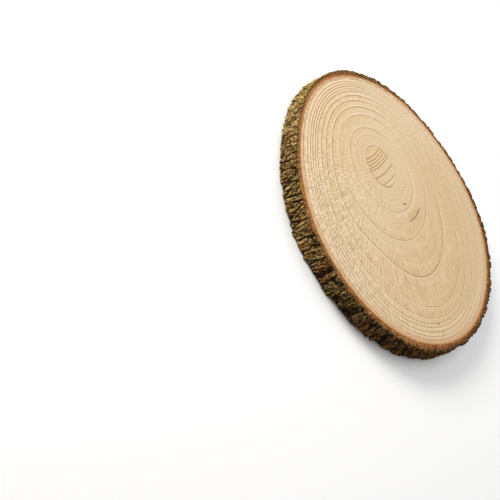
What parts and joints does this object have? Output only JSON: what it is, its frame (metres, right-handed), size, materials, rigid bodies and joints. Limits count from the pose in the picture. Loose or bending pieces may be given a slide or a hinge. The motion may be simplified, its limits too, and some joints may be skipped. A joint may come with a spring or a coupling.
{
  "type": "wood slice",
  "caption": "Round slice sawn across a small trunk, flat on both faces, with growth rings in pale wood and its furrowed bark left on around the rim.",
  "frame": {"origin": "middle of the sawn underside, on the surface that the slice lies on", "axes": "+Z along the trunk, out of the upper sawn face; X and Y across the slice"},
  "size_m": [0.2475, 0.2489, 0.018],
  "materials": {
    "wood": "pale sawn end grain, lightly sanded, matt, with darker growth rings around an off-centre pith",
    "bark": "rough dry bark, dark brown in its furrows and olive brown on its plates, red-brown where it is sawn"
  },
  "bodies": {
    "root": {"wood": "wood", "bark": "bark"}
  },
  "joints": []
}
